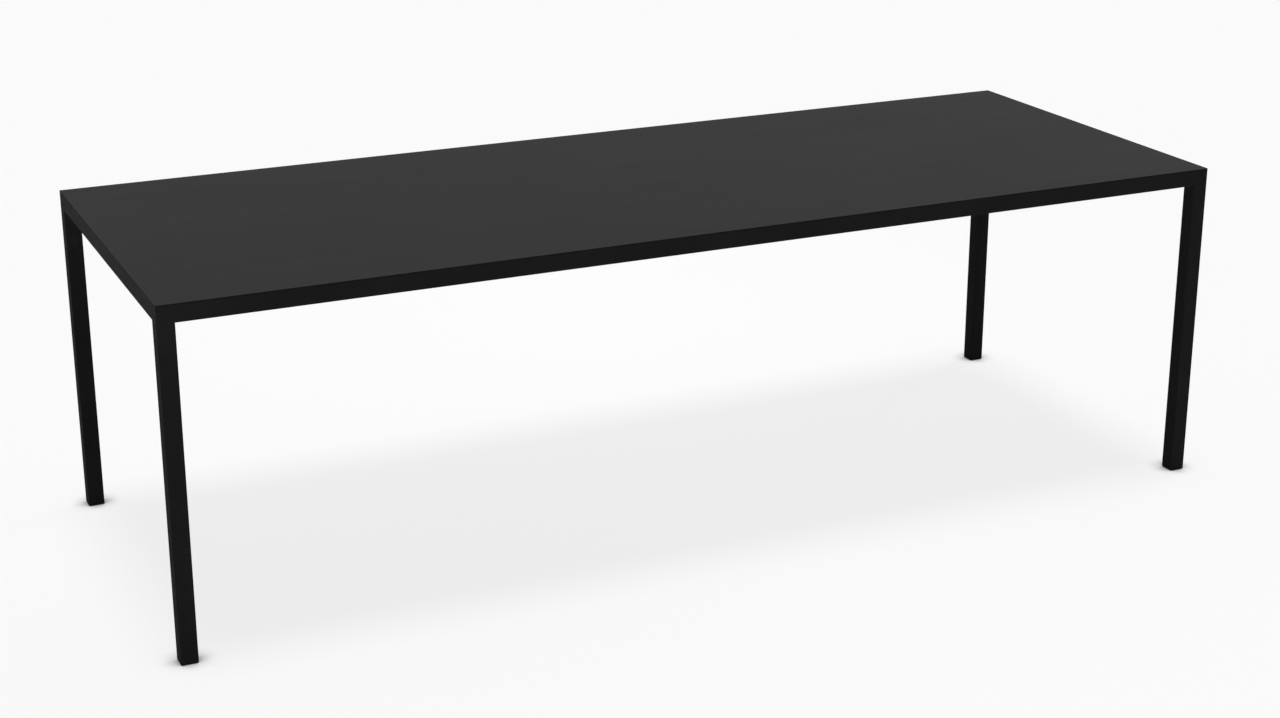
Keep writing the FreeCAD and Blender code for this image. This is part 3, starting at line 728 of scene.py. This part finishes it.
def make_floor_material():
    """Pale floor with a faint shadow, painted glow and painted contact shadows, clear from below."""
    material = bpy.data.materials.new("studio_floor")
    material.use_nodes = True
    tree = material.node_tree
    tree.nodes.clear()
    lean_x, lean_y, lean_z = CONTACT_LEAN
    lean = add(tree, "CombineXYZ", X=lean_x, Y=lean_y, Z=lean_z).outputs["Vector"]
    # Painted shade: occlusion darkens the plain emission round the feet, a painted contact shadow.
    painted_contact_shadow = add(tree, "AmbientOcclusion", Distance=CONTACT_REACH, Normal=lean)
    shade = remap(tree, painted_contact_shadow.outputs["AO"], CONTACT_BLACK, CONTACT_CLEAR)
    # Painted light: the plain emission is brightest at the glow's place, a painted pool of light.
    from_painted_glow = operate(tree, "VectorMath", "DISTANCE", place_on_piece(tree), PAINTED_GLOW_PLACE)
    tone = remap(tree, from_painted_glow.outputs["Value"], 0.0, PAINTED_GLOW_RADIUS, 1.0, FLOOR_TONE)
    plain = add(tree, "Emission", Color=WHITE, Strength=calculate(tree, "MULTIPLY", tone, shade))
    lit = add(tree, "BsdfDiffuse", Color=FLOOR_COLOUR)
    share = calculate(tree, "MULTIPLY", add_seen_share(tree), PLAIN_SHARE)
    above = mix_shaders(tree, share, lit.outputs["BSDF"], plain.outputs["Emission"])
    below = add(tree, "BsdfTransparent").outputs["BSDF"]
    is_below = add(tree, "NewGeometry").outputs["Backfacing"]
    add(tree, "OutputMaterial", Surface=mix_shaders(tree, is_below, above, below))
    return material


floor_material = make_floor_material()
print("floor material with", len(floor_material.node_tree.nodes), "nodes")

# %% [markdown]
# The floor itself is one wide disc. It lies a hair below the feet, because two faces in one plane
# would fight over which of them shows.

# %% Floor
FLOOR_RADIUS = 60.0
FLOOR_SIDES = 64
FLOOR_DROP = 0.1 * MM

disc = bmesh.new()
bmesh.ops.create_circle(
    disc, cap_ends=True, segments=FLOOR_SIDES, radius=FLOOR_RADIUS,
    matrix=Matrix.Translation((0, 0, cad_low.z - FLOOR_DROP)))
floor_mesh = bpy.data.meshes.new("studio_floor")
disc.to_mesh(floor_mesh)
disc.free()
floor_mesh.materials.append(floor_material)
floor = add_object("studio_floor", floor_mesh)
print("floor", FLOOR_DROP, "m under feet at", round(cad_low.z, 4))

# %% [markdown]
# The light is a plain studio's. A broad lamp straight overhead makes the soft shadow that lies under
# the table, and a low one from behind the right end sets the faces that look that way apart from
# their neighbours. Both are suns, whose light is the same wherever they stand. Their levels are
# given as shares of the light that shows a white card as white, and their spreads in degrees. In
# the picture the rail at the left end is lighter than the legs under it. A broad lamp on that side
# would light them all, so a thin strip stands close beside the rail.

# %% Lamps
OVERHEAD = 0.68
OVERHEAD_SPREAD = 18
SIDE = 0.35
SIDE_SPREAD = 30
SIDE_DIRECTION = (-1, -0.35, -0.28)
STRIP_GAP = 0.08
STRIP_HEIGHT = 0.02
STRIP_OVERHANG = 0.35
STRIP_WATTS = 0.285


def add_soft_sun(name, share, spread, direction):
    """A far, broad lamp that shines along a direction, with its share of full light."""
    light = bpy.data.lights.new(name, "SUN")
    light.energy = share * math.pi
    light.angle = math.radians(spread)
    lamp = add_object(name, light)
    lamp.rotation_mode = "QUATERNION"
    lamp.rotation_quaternion = Vector(direction).to_track_quat("-Z", "Y")


def add_edge_strip():
    """A thin lamp beside the left end, level with its rail and longer than it."""
    low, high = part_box("short_rail_left")
    light = bpy.data.lights.new("edge_strip", "AREA")
    light.shape = "RECTANGLE"
    light.size = STRIP_HEIGHT
    light.size_y = high.y - low.y + 2 * STRIP_OVERHANG
    light.energy = STRIP_WATTS
    lamp = add_object("edge_strip", light)
    lamp.location = (low.x - STRIP_GAP, 0, (low.z + high.z) / 2)
    lamp.rotation_euler = (0, -math.pi / 2, 0)
    lamp.visible_camera = False


add_soft_sun("overhead_light", OVERHEAD, OVERHEAD_SPREAD, (0, 0, -1))
add_soft_sun("side_light", SIDE, SIDE_SPREAD, SIDE_DIRECTION)
add_edge_strip()
print("lamps:", sorted(light.name for light in bpy.data.lights))

# %% [markdown]
# The room adds an even fill. With the two suns, the light on the top comes to about 1, so a colour
# renders about as it is written. Gloss sees a sweep that goes from the floor's tone, low down, to
# dark overhead, and past the edge of the floor the camera sees the floor's tone.

# %% Room
FILL = 0.25
SWEEP_LOW = 0.05
SWEEP_HIGH = 0.4
SWEEP_TOP = 0.1


def make_room():
    """Even fill for spreading light, a pale sweep in reflections, and a pale backdrop for the camera."""
    world = bpy.data.worlds.new("studio_room")
    world.use_nodes = True
    tree = world.node_tree
    tree.nodes.clear()
    direction = add(tree, "SeparateXYZ", Vector=add(tree, "TexCoord").outputs["Generated"])
    tone = remap(tree, direction.outputs["Z"], SWEEP_LOW, SWEEP_HIGH, FLOOR_TONE, SWEEP_TOP)
    fill = add(tree, "Background", Color=WHITE, Strength=FILL).outputs["Background"]
    sweep = add(tree, "Background", Color=WHITE, Strength=tone).outputs["Background"]
    backdrop = add(tree, "Background", Color=WHITE, Strength=FLOOR_TONE).outputs["Background"]
    around = mix_shaders(tree, add_seen_share(tree), fill, sweep)
    to_camera = add(tree, "LightPath").outputs["Is Camera Ray"]
    add(tree, "OutputWorld", Surface=mix_shaders(tree, to_camera, around, backdrop))
    return world


bpy.context.scene.world = make_room()
bpy.context.scene.view_settings.view_transform = "Standard"
side_rise = -Vector(SIDE_DIRECTION).normalized().z
print("light on the top, as a share of full:", round(OVERHEAD + FILL + SIDE * side_rise, 3))

# %% [markdown]
# The camera stands where the photograph was taken. It could be set by eye, but then no edge would
# lie quite on its line. Its place, its turn and its focal length come from fitting the table's
# straight edges to the picture. The picture's centre isn't quite on the lens axis, which is a small
# shift.

# %% Camera
PICTURE_WIDTH = 1280
PICTURE_HEIGHT = 718
SENSOR_WIDTH = 36.0
FOCAL_PIXELS = 2215.45
AXIS_PIXEL = (650.93, 324.27)
CAMERA_PLACE = (-2.01485, -4.33413, 1.9936)
CAMERA_AZIMUTH = math.radians(-25.1011)
CAMERA_ELEVATION = math.radians(18.5027)
CAMERA_ROLL = math.radians(0.0673)

lens = bpy.data.cameras.new("picture_camera")
lens.sensor_fit = "HORIZONTAL"
lens.sensor_width = SENSOR_WIDTH
lens.lens = SENSOR_WIDTH * FOCAL_PIXELS / PICTURE_WIDTH
lens.shift_x = (PICTURE_WIDTH / 2 - AXIS_PIXEL[0]) / PICTURE_WIDTH
lens.shift_y = (AXIS_PIXEL[1] - PICTURE_HEIGHT / 2) / PICTURE_WIDTH
lens.clip_end = 2 * FLOOR_RADIUS
camera = add_object("picture_camera", lens)
camera.matrix_world = (
    Matrix.Translation(CAMERA_PLACE)
    @ Matrix.Rotation(CAMERA_AZIMUTH, 4, "Z")
    @ Matrix.Rotation(math.pi / 2 - CAMERA_ELEVATION, 4, "X")
    @ Matrix.Rotation(CAMERA_ROLL, 4, "Z")
)
bpy.context.scene.camera = camera
print("lens of", round(lens.lens, 2), "mm, shift", round(lens.shift_x, 4), round(lens.shift_y, 4))
